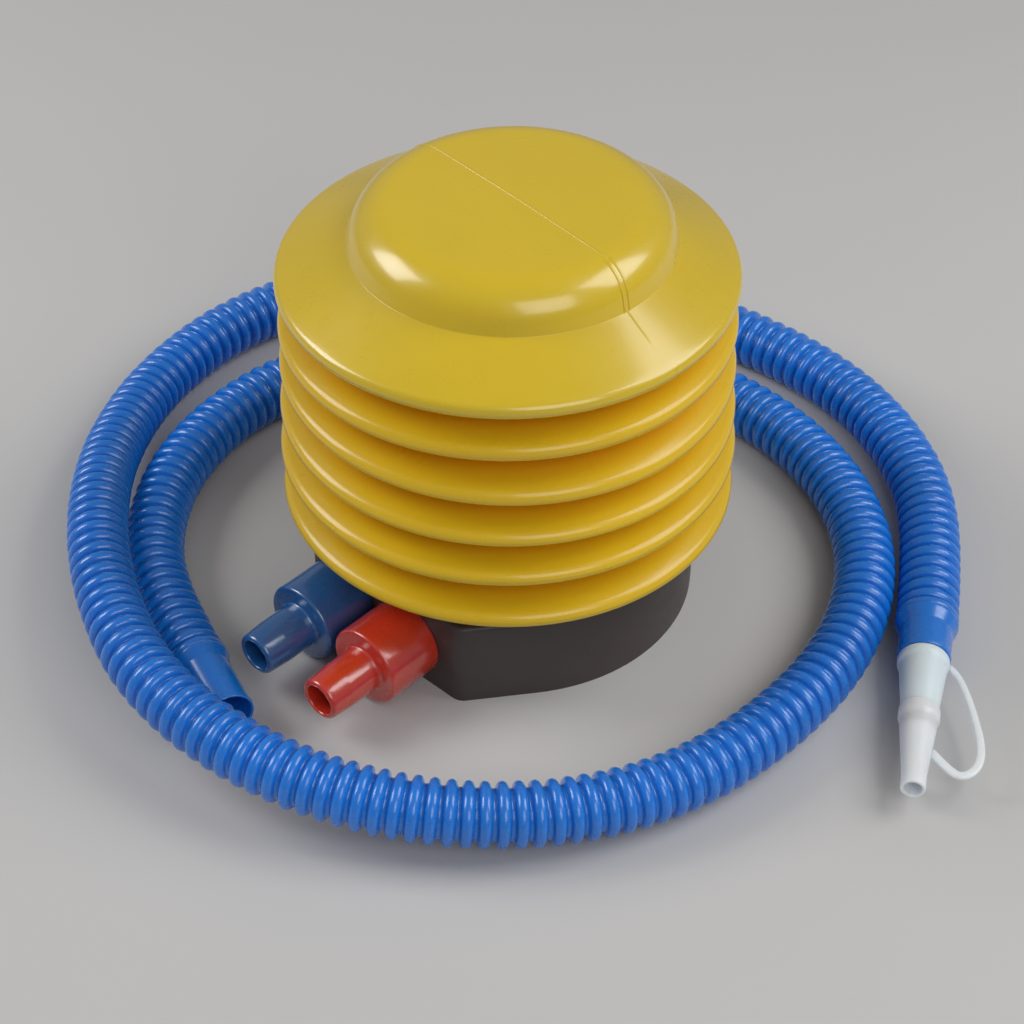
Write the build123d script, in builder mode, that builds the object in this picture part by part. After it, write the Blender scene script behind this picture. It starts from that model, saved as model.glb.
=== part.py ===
"""Foot-operated bellows air pump with a loose corrugated hose and a push-on nozzle.

Millimetres, +Z up. The origin is on the bellows axis, on the surface that the base stands on.
Both hose ports face -Y: the inflate port is at -X, the deflate port at +X.
"""
from build123d import *
import math
import os

os.makedirs("parts", exist_ok=True)

# ---------------------------------------------------------------- driving dimensions
UP = Vector(0, 0, 1)

# base: a round housing whose front runs out to a flat face for the two ports
BASE_RADIUS = 55.0
BASE_FRONT = 52.0
BASE_CORNER_X = 29.0
BASE_CORNER_RADIUS = 4.5
BASE_HEIGHT = 28.0
BASE_WALL = 2.6
BASE_RIM_ROUND = 1.5
DECK_TOP = 24.0
DECK_THICKNESS = 2.5
DECK_UNDERSIDE = DECK_TOP - DECK_THICKNESS
PLATE_THICKNESS = 2.4
PLATE_CLEARANCE = 0.2
GASKET_THICKNESS = 0.8
DUCT_FLOOR = PLATE_THICKNESS + GASKET_THICKNESS

# bellows: five closed folds below the rim of the domed top, blow moulded with one wall
BELLOWS_WALL = 1.4
RIM_RADIUS = 63.5
VALLEY_RADIUS = 50.5
TOP_RIM_Z = 108.9
FOLD_PITCH = 14.19
FOLD_COUNT = 5
CREST_ROUND = 1.9
VALLEY_ROUND = 1.6
NECK_RADIUS = 49.5
NECK_CLEARANCE = 0.4
NECK_FLANGE_INNER = 43.0
NECK_FLANGE_ROUND = 1.0
TOP_SPLIT_RADIUS = 58.5
TOP_SPLIT_GAP = 0.3

# domed foot pad on top of the bellows
PAD_SLOPE = 25.5
DOME_FOOT_RADIUS = 44.4
DOME_WALL_ANGLE = 74.0
DOME_TOP = 131.8
DOME_SHOULDER_ROUND = 11.0
DOME_FOOT_ROUND = 0.9

# return spring and its seat under the dome
SPRING_RADIUS = 34.0
SPRING_WIRE_RADIUS = 1.4
SPRING_TURNS = 6
SEAT_THICKNESS = 1.6
SEAT_RADIUS = 35.8
SEAT_BEVEL_HEIGHT = 0.9
SEAT_BEVEL_WIDTH = 3.6
SEAT_RING_HEIGHT = 3.0
SPRING_RING_OUTER = 32.3
SPRING_RING_WALL = 1.1
SPRING_RING_HEIGHT = 2.5

# clamp ring that holds the bellows neck down on the deck
CLAMP_INNER = 41.0
CLAMP_OUTER = 47.9
CLAMP_THICKNESS = 2.6
CLAMP_CHAMFER = 0.5
CLAMP_SCREW_COUNT = 4
CLAMP_SCREW_CIRCLE = 45.0
CLAMP_SCREW_START = 40.0
CLAMP_BOSS_RADIUS = 3.5
CLAMP_BOSS_BOTTOM = 13.0
CLAMP_HOLE_FLOOR = 1.0
CLAMP_SHANK_RADIUS = 1.25
CLAMP_SHANK_LENGTH = 12.5
CLAMP_HEAD_RADIUS = 2.4
CLAMP_HEAD_HEIGHT = 1.8
CLAMP_HEAD_ROUND = 0.5

# screws that hold the bottom plate
BASE_SCREW_POSITIONS = [(-38, -12), (38, -12), (0, 42)]
BASE_BOSS_RADIUS = 4.0
BASE_SHANK_RADIUS = 1.5
BASE_SHANK_LENGTH = 13.0
BASE_HEAD_RADIUS = 3.0
BASE_HEAD_HEIGHT = 1.5
SCREW_RECESS = 0.2
SCREW_CLEARANCE = 0.1
DRIVE_WIDTH = 0.6
DRIVE_LENGTH = 2.8
DRIVE_DEPTH = 0.9

# ports, one for each air duct; the pair sits off centre, towards -X
INFLATE_X = -16.2
DEFLATE_X = 9.6
PORT_HEIGHT = 13.6
PORT_BORE_RADIUS = 4.6
PORT_BARREL_RADIUS = 7.4
PORT_BARREL_END = 44.0
PORT_BARREL_CLEARANCE = 0.05
COLLAR_RADIUS = 11.9
COLLAR_FACE = 69.7
COLLAR_ROUND = 1.5
SPIGOT_RADIUS = 6.8
SPIGOT_TIP_RADIUS = 6.3
SPIGOT_STRAIGHT = 10.0
SPIGOT_END = 87.3
SPIGOT_ROUND = 1.2
O_RING_RADIUS = 9.3
O_RING_SECTION = 0.65
O_RING_GROOVE_HALF_WIDTH = 0.9

# air ducts under the deck and the two non-return valves
DUCT_WIDTH = 18.0
DUCT_WALL = 2.0
DUCT_BACK = 8.0
VALVE_Y = -18.0
VALVE_HOLE_RADIUS = 4.5
VALVE_DISC_RADIUS = 6.8
VALVE_DISC_THICKNESS = 1.2
VALVE_LIFT = 2.0
VALVE_GAP = 0.05
CAGE_RADIUS = 8.6
CAGE_BORE_RADIUS = 7.2
CAGE_FLOOR = 1.4
CAGE_WINDOW_WIDTH = 7.0
CAGE_HOLE_CIRCLE = 3.6
CAGE_HOLE_RADIUS = 1.8
CAGE_HOLE_COUNT = 4
CAGE_HOLE_START = 45.0

# corrugated hose, its two cuffs and the nozzle
HOSE_RADIUS = 9.1
HOSE_BORE_RADIUS = 7.2
CUFF_RADIUS = 7.8
CUFF_BORE_RADIUS = 6.8
PUMP_CUFF_LENGTH = 22.5
NOZZLE_CUFF_LENGTH = 14.9
CUFF_SHOULDER = 3.5
CUFF_ROUND = 0.4
ADAPTER_PLUG_RADIUS = 6.75
ADAPTER_PLUG_LENGTH = 12.0
ADAPTER_RIM_RADIUS = 7.8
ADAPTER_RIM_LENGTH = 3.2
ADAPTER_RIM_ROUND = 0.6
ADAPTER_BODY_RADIUS = 7.0
ADAPTER_NECK_RADIUS = 5.4
ADAPTER_NECK_END = 19.7
ADAPTER_END = 27.2
ADAPTER_END_RADIUS = 4.5
ADAPTER_SPIGOT_RADIUS = 4.95
ADAPTER_WALL = 1.2
TIP_START = 19.9
TIP_RIM_RADIUS = 6.15
TIP_RIM_LENGTH = 3.8
TIP_RIM_CHAMFER = 1.0
TIP_SHOULDER_RADIUS = 5.6
TIP_SOCKET_RADIUS = 5.0
TIP_SOCKET_END = 27.7
TIP_CLEARANCE = 0.05
TIP_END = 49.5
TIP_STRAIGHT = 5.2
TIP_MOUTH_RADIUS = 3.45
TIP_MOUTH_BORE = 2.45
TIP_ROUND = 0.4
TETHER_WIDTH = 2.0
TETHER_THICKNESS = 1.4

# hose route from the pump-end cuff to the nozzle-end cuff, chosen by hand, with the share of
# each run that a corner arc takes up
ARC_SHARE = 0.45
HOSE_ROUTE = [
    (-28.5, -98, 9.3), (-59.5, -87, 9.3), (-83.5, -68, 9.3), (-100.5, -41.5, 9.3), (-107.5, -8, 9.3),
    (-100, 28.5, 9.3), (-80, 59.5, 9.3), (-50.5, 84, 9.3), (-14.5, 97, 9.3), (24, 99, 9.3),
    (60, 87.5, 9.3), (87, 64, 9.3), (102.5, 31.5, 9.3), (106, -6.5, 9.3), (99.5, -44, 9.3),
    (79.5, -78, 11), (50.5, -103.5, 14.5), (14.5, -118.5, 18.5), (-25, -119.5, 21.8), (-60.5, -104.5, 22.4),
    (-90.5, -82.5, 21.4), (-117, -54.5, 14.6), (-136.5, -20, 9.3), (-141.5, 17.5, 9.3), (-131.5, 53.5, 9.3),
    (-108.5, 84.5, 9.3), (-77, 108, 9.3), (-38.5, 123, 9.3), (1, 130, 9.3), (39, 126, 9.3),
    (72.5, 109, 9.3), (95, 84.5, 9.3), (113, 55.5, 9.3),
]

# tether strap from the adapter's rim to the nozzle tip: along the nozzle, then out to its side
TETHER_ROUTE = [
    (0.8, 8.9), (9, 11.8), (20, 15.2), (31, 17.6), (38.5, 17), (42.8, 13.2), (41.2, 9.2), (35.4, 4.4),
]


# ---------------------------------------------------------------- helpers
def axial_plane(origin, direction):
    """Plane holding a level axis: local x runs along the axis, local y points up."""
    return Plane(origin=origin, x_dir=direction, z_dir=direction.cross(UP))


def tangent_radii(points):
    """Radius of each corner arc: a share of the shorter run over the tangent of half the turn."""
    stops = [Vector(*point) for point in points]
    radii = []
    for before, corner, after in zip(stops, stops[1:], stops[2:]):
        run_in = corner - before
        run_out = after - corner
        half_turn = math.radians(run_in.get_angle(run_out)) / 2
        radii.append(ARC_SHARE * min(run_in.length, run_out.length) / math.tan(half_turn))
    return radii


def base_outline(inset):
    """Outline of the base: a circle with straight cheeks running out to a flat front."""
    corner_distance = math.hypot(BASE_CORNER_X, BASE_FRONT)
    corner_angle = math.atan2(-BASE_FRONT, BASE_CORNER_X)
    tangent_angle = corner_angle + math.acos(BASE_RADIUS / corner_distance)
    tangent_x = BASE_RADIUS * math.cos(tangent_angle)
    tangent_y = BASE_RADIUS * math.sin(tangent_angle)
    with BuildSketch() as outline:
        Circle(BASE_RADIUS)
        with BuildLine():
            Polyline(
                (tangent_x, tangent_y), (BASE_CORNER_X, -BASE_FRONT),
                (-BASE_CORNER_X, -BASE_FRONT), (-tangent_x, tangent_y), close=True,
            )
        make_face()
        with Locations((0, -BASE_FRONT)):
            Rectangle(
                2 * BASE_RADIUS, BASE_RADIUS, align=(Align.CENTER, Align.MAX), mode=Mode.SUBTRACT,
            )
        fillet(outline.vertices().group_by(Axis.Y)[0], BASE_CORNER_RADIUS)
        if inset:
            offset(amount=-inset)
    return outline.sketch


def nearest(vertices, x, y):
    """The vertex of a section that lies nearest to a local point."""
    return vertices.sort_by_distance((x, y, 0))[0]


port_xs = (INFLATE_X, DEFLATE_X)
ducts_middle_x = (INFLATE_X + DEFLATE_X) / 2
ducts_width = DEFLATE_X - INFLATE_X + DUCT_WIDTH + 2 * DUCT_WALL
outer_outline = base_outline(0)
inner_outline = base_outline(BASE_WALL)
plate_outline = base_outline(BASE_WALL + PLATE_CLEARANCE)
duct_front = BASE_FRONT - BASE_WALL
duct_length = duct_front - DUCT_BACK
duct_middle = -(duct_front + DUCT_BACK) / 2

# ---------------------------------------------------------------- base housing
with BuildPart() as base_housing:
    with BuildSketch():
        add(outer_outline)
    extrude(amount=BASE_HEIGHT)
    fillet(base_housing.faces().sort_by(Axis.Z)[-1].outer_wire().edges(), BASE_RIM_ROUND)
    with BuildSketch(Plane.XY.offset(DECK_TOP)):
        Circle(NECK_RADIUS + NECK_CLEARANCE)
    extrude(amount=BASE_HEIGHT - DECK_TOP, mode=Mode.SUBTRACT)
    with BuildSketch():
        add(inner_outline)
    extrude(amount=DECK_UNDERSIDE, mode=Mode.SUBTRACT)
    # screw bosses
    with BuildSketch(Plane.XY.offset(PLATE_THICKNESS)):
        with Locations(*BASE_SCREW_POSITIONS):
            Circle(BASE_BOSS_RADIUS)
    extrude(amount=DECK_UNDERSIDE - PLATE_THICKNESS)
    with BuildSketch(Plane.XY.offset(CLAMP_BOSS_BOTTOM)):
        with PolarLocations(CLAMP_SCREW_CIRCLE, CLAMP_SCREW_COUNT, start_angle=CLAMP_SCREW_START):
            Circle(CLAMP_BOSS_RADIUS)
    extrude(amount=DECK_UNDERSIDE - CLAMP_BOSS_BOTTOM)
    with BuildSketch(Plane.XY.offset(PLATE_THICKNESS)):
        with Locations(*BASE_SCREW_POSITIONS):
            Circle(BASE_SHANK_RADIUS)
    extrude(amount=BASE_SHANK_LENGTH, mode=Mode.SUBTRACT)
    with BuildSketch(Plane.XY.offset(DECK_TOP)):
        with PolarLocations(CLAMP_SCREW_CIRCLE, CLAMP_SCREW_COUNT, start_angle=CLAMP_SCREW_START):
            Circle(CLAMP_SHANK_RADIUS)
    extrude(amount=-(DECK_TOP - CLAMP_BOSS_BOTTOM - CLAMP_HOLE_FLOOR), mode=Mode.SUBTRACT)
    # ring that centres the return spring
    with BuildSketch(Plane.XY.offset(DECK_TOP)):
        Circle(SPRING_RING_OUTER)
        Circle(SPRING_RING_OUTER - SPRING_RING_WALL, mode=Mode.SUBTRACT)
    extrude(amount=SPRING_RING_HEIGHT)
    # valve holes through the deck and port holes through the front wall
    with BuildSketch(Plane.XY.offset(DECK_TOP)):
        with Locations(*[(x, VALVE_Y) for x in port_xs]):
            Circle(VALVE_HOLE_RADIUS)
    extrude(amount=-DECK_THICKNESS, mode=Mode.SUBTRACT)
    with BuildSketch(Plane.XZ.offset(BASE_FRONT)):
        with Locations(*[(x, PORT_HEIGHT) for x in port_xs]):
            Circle(PORT_BARREL_RADIUS + PORT_BARREL_CLEARANCE)
    extrude(amount=-BASE_WALL, mode=Mode.SUBTRACT)
base_housing.part.label = "base_housing"
export_step(base_housing.part, "parts/base_housing.step")

# ---------------------------------------------------------------- duct walls under the deck
# The housing's front wall closes them in front, the deck above and the gasketed plate below.
with BuildPart() as air_ducts:
    with BuildSketch(Plane.XY.offset(DUCT_FLOOR)):
        with Locations((ducts_middle_x, duct_middle + DUCT_WALL / 2)):
            Rectangle(ducts_width, duct_length + DUCT_WALL)
        add(inner_outline, mode=Mode.INTERSECT)
        with Locations(*[(x, duct_middle) for x in port_xs]):
            Rectangle(DUCT_WIDTH, duct_length, mode=Mode.SUBTRACT)
    extrude(amount=DECK_UNDERSIDE - DUCT_FLOOR)
air_ducts.part.label = "air_ducts"
export_step(air_ducts.part, "parts/air_ducts.step")

# ---------------------------------------------------------------- bottom plate, its gasket and screws
with BuildPart() as base_plate:
    with BuildSketch():
        add(plate_outline)
    extrude(amount=PLATE_THICKNESS)
    with Locations(*[Location((x, y, 0), (180, 0, 0)) for x, y in BASE_SCREW_POSITIONS]):
        CounterSinkHole(
            radius=BASE_SHANK_RADIUS + SCREW_CLEARANCE,
            counter_sink_radius=BASE_HEAD_RADIUS + SCREW_CLEARANCE + SCREW_RECESS,
            depth=PLATE_THICKNESS,
        )
base_plate.part.label = "base_plate"
export_step(base_plate.part, "parts/base_plate.step")

with BuildPart() as duct_gasket:
    with BuildSketch(Plane.XY.offset(PLATE_THICKNESS)):
        with Locations((ducts_middle_x, duct_middle)):
            Rectangle(ducts_width, duct_length + 2 * DUCT_WALL)
        add(inner_outline, mode=Mode.INTERSECT)
        with Locations(*[(x, duct_middle) for x in port_xs]):
            Rectangle(DUCT_WIDTH, duct_length - 2 * DUCT_WALL, mode=Mode.SUBTRACT)
    extrude(amount=GASKET_THICKNESS)
duct_gasket.part.label = "duct_gasket"
export_step(duct_gasket.part, "parts/duct_gasket.step")

with BuildPart() as base_screws:
    with Locations(*[(x, y, SCREW_RECESS) for x, y in BASE_SCREW_POSITIONS]):
        Cone(
            BASE_HEAD_RADIUS, BASE_SHANK_RADIUS, BASE_HEAD_HEIGHT,
            align=(Align.CENTER, Align.CENTER, Align.MIN),
        )
        Cylinder(BASE_SHANK_RADIUS, BASE_SHANK_LENGTH, align=(Align.CENTER, Align.CENTER, Align.MIN))
        for turn in (0, 90):
            Box(
                DRIVE_LENGTH, DRIVE_WIDTH, DRIVE_DEPTH, rotation=(0, 0, turn),
                align=(Align.CENTER, Align.CENTER, Align.MIN), mode=Mode.SUBTRACT,
            )
base_screws.part.label = "base_screws"
export_step(base_screws.part, "parts/base_screws.step")

# ---------------------------------------------------------------- bellows
half_wall = BELLOWS_WALL / 2
crest_centre = RIM_RADIUS - half_wall - CREST_ROUND
valley_centre = VALLEY_RADIUS - half_wall + VALLEY_ROUND
centre_distance = math.hypot(crest_centre - valley_centre, FOLD_PITCH / 2)
centre_angle = math.atan2(FOLD_PITCH / 2, crest_centre - valley_centre)
flank_angle = centre_angle - math.asin((CREST_ROUND + VALLEY_ROUND) / centre_distance)
crest_corner = crest_centre + CREST_ROUND / math.sin(flank_angle)
valley_corner = valley_centre - VALLEY_ROUND / math.sin(flank_angle)
neck_middle = NECK_RADIUS - half_wall
flange_middle = DECK_TOP + half_wall
top_valley_z = TOP_RIM_Z - FOLD_PITCH / 2
lowest_rim_z = TOP_RIM_Z - FOLD_COUNT * FOLD_PITCH
neck_top = lowest_rim_z - (crest_corner - neck_middle) * math.tan(flank_angle)


def flank_height(radius):
    """Height of the underside flank of the top rim at a radius, on the middle of the wall."""
    return top_valley_z + (radius - valley_corner) * math.tan(flank_angle)


with BuildPart() as bellows_folds:
    fold_corners = [
        (NECK_FLANGE_INNER, flange_middle), (neck_middle, flange_middle), (neck_middle, neck_top),
    ]
    for fold in range(FOLD_COUNT, 0, -1):
        rim_z = TOP_RIM_Z - fold * FOLD_PITCH
        fold_corners.append((crest_corner, rim_z))
        fold_corners.append((valley_corner, rim_z + FOLD_PITCH / 2))
    fold_end = TOP_SPLIT_RADIUS - TOP_SPLIT_GAP
    fold_corners.append((fold_end, flank_height(fold_end)))
    fold_rounds = [NECK_FLANGE_ROUND, VALLEY_ROUND] + [CREST_ROUND, VALLEY_ROUND] * FOLD_COUNT
    with BuildSketch(Plane.XZ):
        with BuildLine():
            FilletPolyline(*fold_corners, radius=fold_rounds)
        trace(line_width=BELLOWS_WALL)
    revolve(axis=Axis.Z)
    with BuildSketch(Plane.XY.offset(DECK_TOP)):
        with PolarLocations(CLAMP_SCREW_CIRCLE, CLAMP_SCREW_COUNT, start_angle=CLAMP_SCREW_START):
            Circle(CLAMP_SHANK_RADIUS + SCREW_CLEARANCE)
    extrude(amount=BELLOWS_WALL, mode=Mode.SUBTRACT)
bellows_folds.part.label = "bellows_folds"
export_step(bellows_folds.part, "parts/bellows_folds.step")

pad_slope = math.radians(PAD_SLOPE)
rim_half_angle = (flank_angle + pad_slope) / 2
rim_tilt = (pad_slope - flank_angle) / 2
rim_reach = CREST_ROUND / math.sin(rim_half_angle)
rim_corner_r = crest_centre + rim_reach * math.cos(rim_tilt)
rim_corner_z = TOP_RIM_Z - rim_reach * math.sin(rim_tilt)
dome_foot_z = rim_corner_z + (rim_corner_r - DOME_FOOT_RADIUS) * math.tan(pad_slope)
dome_middle_z = DOME_TOP - half_wall
dome_wall_run = (dome_middle_z - dome_foot_z) / math.tan(math.radians(DOME_WALL_ANGLE))

with BuildPart() as bellows_top:
    with BuildSketch(Plane.XZ):
        with BuildLine():
            FilletPolyline(
                (TOP_SPLIT_RADIUS, flank_height(TOP_SPLIT_RADIUS)),
                (rim_corner_r, rim_corner_z),
                (DOME_FOOT_RADIUS, dome_foot_z),
                (DOME_FOOT_RADIUS - dome_wall_run, dome_middle_z),
                (0, dome_middle_z),
                radius=[CREST_ROUND, DOME_FOOT_ROUND, DOME_SHOULDER_ROUND],
            )
        trace(line_width=BELLOWS_WALL)
    revolve(axis=Axis.Z)
bellows_top.part.label = "bellows_top"
export_step(bellows_top.part, "parts/bellows_top.step")

with BuildPart() as bellows_clamp_ring:
    with BuildSketch(Plane.XY.offset(DECK_TOP + BELLOWS_WALL)):
        Circle(CLAMP_OUTER)
        Circle(CLAMP_INNER, mode=Mode.SUBTRACT)
        with PolarLocations(CLAMP_SCREW_CIRCLE, CLAMP_SCREW_COUNT, start_angle=CLAMP_SCREW_START):
            Circle(CLAMP_SHANK_RADIUS + SCREW_CLEARANCE, mode=Mode.SUBTRACT)
    extrude(amount=CLAMP_THICKNESS)
    outer_edges = bellows_clamp_ring.edges().filter_by(GeomType.CIRCLE).sort_by(SortBy.RADIUS)[-2:]
    chamfer(outer_edges, CLAMP_CHAMFER)
bellows_clamp_ring.part.label = "bellows_clamp_ring"
export_step(bellows_clamp_ring.part, "parts/bellows_clamp_ring.step")

clamp_screw_seat = DECK_TOP + BELLOWS_WALL + CLAMP_THICKNESS
with BuildPart() as clamp_screws:
    with BuildSketch(Plane.XY.offset(clamp_screw_seat)):
        with PolarLocations(CLAMP_SCREW_CIRCLE, CLAMP_SCREW_COUNT, start_angle=CLAMP_SCREW_START):
            Circle(CLAMP_HEAD_RADIUS)
    extrude(amount=CLAMP_HEAD_HEIGHT)
    fillet(clamp_screws.edges().group_by(Axis.Z)[-1], CLAMP_HEAD_ROUND)
    with BuildSketch(Plane.XY.offset(clamp_screw_seat)):
        with PolarLocations(CLAMP_SCREW_CIRCLE, CLAMP_SCREW_COUNT, start_angle=CLAMP_SCREW_START):
            Circle(CLAMP_SHANK_RADIUS)
    extrude(amount=-CLAMP_SHANK_LENGTH)
    with BuildSketch(Plane.XY.offset(clamp_screw_seat + CLAMP_HEAD_HEIGHT)):
        with PolarLocations(CLAMP_SCREW_CIRCLE, CLAMP_SCREW_COUNT, start_angle=CLAMP_SCREW_START):
            Rectangle(DRIVE_LENGTH, DRIVE_WIDTH)
            Rectangle(DRIVE_WIDTH, DRIVE_LENGTH)
    extrude(amount=-DRIVE_DEPTH, mode=Mode.SUBTRACT)
clamp_screws.part.label = "clamp_screws"
export_step(clamp_screws.part, "parts/clamp_screws.step")

# ---------------------------------------------------------------- return spring and its seat
seat_bottom = DOME_TOP - BELLOWS_WALL - SEAT_THICKNESS
with BuildPart() as spring_top_seat:
    with BuildSketch(Plane.XY.offset(seat_bottom)):
        Circle(SEAT_RADIUS)
    extrude(amount=SEAT_THICKNESS)
    chamfer(spring_top_seat.edges().group_by(Axis.Z)[-1], SEAT_BEVEL_HEIGHT, SEAT_BEVEL_WIDTH)
    with BuildSketch(Plane.XY.offset(seat_bottom)):
        Circle(SPRING_RING_OUTER)
        Circle(SPRING_RING_OUTER - SPRING_RING_WALL, mode=Mode.SUBTRACT)
    extrude(amount=-SEAT_RING_HEIGHT)
spring_top_seat.part.label = "spring_top_seat"
export_step(spring_top_seat.part, "parts/spring_top_seat.step")

spring_rise = seat_bottom - DECK_TOP - 2 * SPRING_WIRE_RADIUS
with BuildPart() as return_spring:
    with BuildLine() as coil:
        Helix(
            pitch=spring_rise / SPRING_TURNS, height=spring_rise, radius=SPRING_RADIUS,
            center=(0, 0, DECK_TOP + SPRING_WIRE_RADIUS),
        )
    with BuildSketch(Plane(origin=coil.line @ 0, z_dir=coil.line % 0)):
        Circle(SPRING_WIRE_RADIUS)
    sweep(path=coil.line, is_frenet=True)
return_spring.part.label = "return_spring"
export_step(return_spring.part, "parts/return_spring.step")

# ---------------------------------------------------------------- ports and their seals
for port_x, port_name in ((INFLATE_X, "inflate_port"), (DEFLATE_X, "deflate_port")):
    port_origin = Vector(port_x, 0, PORT_HEIGHT)
    port_axis = Axis(port_origin, (0, -1, 0))
    groove_inner = O_RING_RADIUS - O_RING_GROOVE_HALF_WIDTH
    groove_outer = O_RING_RADIUS + O_RING_GROOVE_HALF_WIDTH
    groove_floor = BASE_FRONT + 2 * O_RING_SECTION
    with BuildPart() as port:
        with BuildSketch(axial_plane(port_origin, Vector(0, -1, 0))) as port_section:
            with BuildLine():
                Polyline(
                    (PORT_BARREL_END, PORT_BORE_RADIUS),
                    (PORT_BARREL_END, PORT_BARREL_RADIUS),
                    (BASE_FRONT, PORT_BARREL_RADIUS),
                    (BASE_FRONT, groove_inner),
                    (groove_floor, groove_inner),
                    (groove_floor, groove_outer),
                    (BASE_FRONT, groove_outer),
                    (BASE_FRONT, COLLAR_RADIUS),
                    (COLLAR_FACE, COLLAR_RADIUS),
                    (COLLAR_FACE, SPIGOT_RADIUS),
                    (COLLAR_FACE + SPIGOT_STRAIGHT, SPIGOT_RADIUS),
                    (SPIGOT_END, SPIGOT_TIP_RADIUS),
                    (SPIGOT_END, PORT_BORE_RADIUS),
                    close=True,
                )
            make_face()
            fillet(nearest(port_section.vertices(), COLLAR_FACE, COLLAR_RADIUS), COLLAR_ROUND)
            fillet(nearest(port_section.vertices(), SPIGOT_END, SPIGOT_TIP_RADIUS), SPIGOT_ROUND)
        revolve(axis=port_axis)
    port.part.label = port_name
    export_step(port.part, f"parts/{port_name}.step")

    with BuildPart() as o_ring:
        with BuildSketch(axial_plane(port_origin, Vector(0, -1, 0))):
            with Locations((BASE_FRONT + O_RING_SECTION, O_RING_RADIUS)):
                Circle(O_RING_SECTION)
        revolve(axis=port_axis)
    o_ring.part.label = f"{port_name}_o_ring"
    export_step(o_ring.part, f"parts/{port_name}_o_ring.step")

# ---------------------------------------------------------------- non-return valves
# The outlet disc hangs below the deck and opens downwards; the inlet disc lies on it and lifts.
for port_x, valve_name, seat_z, away in (
    (INFLATE_X, "outlet_valve", DECK_UNDERSIDE, -1),
    (DEFLATE_X, "inlet_valve", DECK_TOP, 1),
):
    valve_plane = Plane(origin=(port_x, VALVE_Y, seat_z), x_dir=(1, 0, 0), z_dir=(0, 0, away))
    cage_stop = VALVE_GAP + VALVE_DISC_THICKNESS + VALVE_LIFT + VALVE_GAP
    with BuildPart() as valve_disc:
        with BuildSketch(valve_plane.offset(VALVE_GAP)):
            Circle(VALVE_DISC_RADIUS)
        extrude(amount=VALVE_DISC_THICKNESS)
    valve_disc.part.label = f"{valve_name}_disc"
    export_step(valve_disc.part, f"parts/{valve_name}_disc.step")

    with BuildPart() as valve_cage:
        with BuildSketch(valve_plane):
            Circle(CAGE_RADIUS)
            Circle(CAGE_BORE_RADIUS, mode=Mode.SUBTRACT)
        extrude(amount=cage_stop + CAGE_FLOOR)
        with BuildSketch(valve_plane.offset(VALVE_GAP)):
            Rectangle(CAGE_WINDOW_WIDTH, 2 * CAGE_RADIUS)
            Rectangle(2 * CAGE_RADIUS, CAGE_WINDOW_WIDTH)
        extrude(amount=cage_stop, mode=Mode.SUBTRACT)
        with BuildSketch(valve_plane.offset(cage_stop)):
            Circle(CAGE_BORE_RADIUS)
            with PolarLocations(CAGE_HOLE_CIRCLE, CAGE_HOLE_COUNT, start_angle=CAGE_HOLE_START):
                Circle(CAGE_HOLE_RADIUS, mode=Mode.SUBTRACT)
        extrude(amount=CAGE_FLOOR)
    valve_cage.part.label = f"{valve_name}_cage"
    export_step(valve_cage.part, f"parts/{valve_name}_cage.step")

# ---------------------------------------------------------------- hose
hose_radii = tangent_radii(HOSE_ROUTE)
with BuildPart() as hose_tube:
    with BuildLine() as hose_path:
        FilletPolyline(*HOSE_ROUTE, radius=hose_radii)
    with BuildSketch(Plane(origin=hose_path.line @ 0, z_dir=hose_path.line % 0)):
        Circle(HOSE_RADIUS)
        Circle(HOSE_BORE_RADIUS, mode=Mode.SUBTRACT)
    sweep(path=hose_path.line)
hose_tube.part.label = "hose_tube"
export_step(hose_tube.part, "parts/hose_tube.step")
hose_length = hose_path.wire().length
hose_section = math.pi * (HOSE_RADIUS**2 - HOSE_BORE_RADIUS**2)
print("hose corner radii", [round(radius) for radius in hose_radii])
volume_ratio = hose_tube.part.volume / (hose_section * hose_length)
print("hose length", round(hose_length, 1), "volume ratio", round(volume_ratio, 4))

hose_start = Vector(*HOSE_ROUTE[0])
hose_end = Vector(*HOSE_ROUTE[-1])
start_direction = (hose_start - Vector(*HOSE_ROUTE[1])).normalized()
end_direction = (hose_end - Vector(*HOSE_ROUTE[-2])).normalized()
for cuff_name, cuff_origin, cuff_direction, cuff_length in (
    ("hose_cuff_pump_end", hose_start, start_direction, PUMP_CUFF_LENGTH),
    ("hose_cuff_nozzle_end", hose_end, end_direction, NOZZLE_CUFF_LENGTH),
):
    with BuildPart() as cuff:
        with BuildSketch(axial_plane(cuff_origin, cuff_direction)) as cuff_section:
            with BuildLine():
                Polyline(
                    (0, CUFF_BORE_RADIUS), (0, HOSE_RADIUS), (CUFF_SHOULDER, CUFF_RADIUS),
                    (cuff_length, CUFF_RADIUS), (cuff_length, CUFF_BORE_RADIUS), close=True,
                )
            make_face()
            fillet(nearest(cuff_section.vertices(), cuff_length, CUFF_RADIUS), CUFF_ROUND)
        revolve(axis=Axis(cuff_origin, cuff_direction))
    cuff.part.label = cuff_name
    export_step(cuff.part, f"parts/{cuff_name}.step")

# ---------------------------------------------------------------- nozzle
nozzle_origin = hose_end + end_direction * NOZZLE_CUFF_LENGTH
nozzle_axis = Axis(nozzle_origin, end_direction)
nozzle_plane = axial_plane(nozzle_origin, end_direction)

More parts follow.
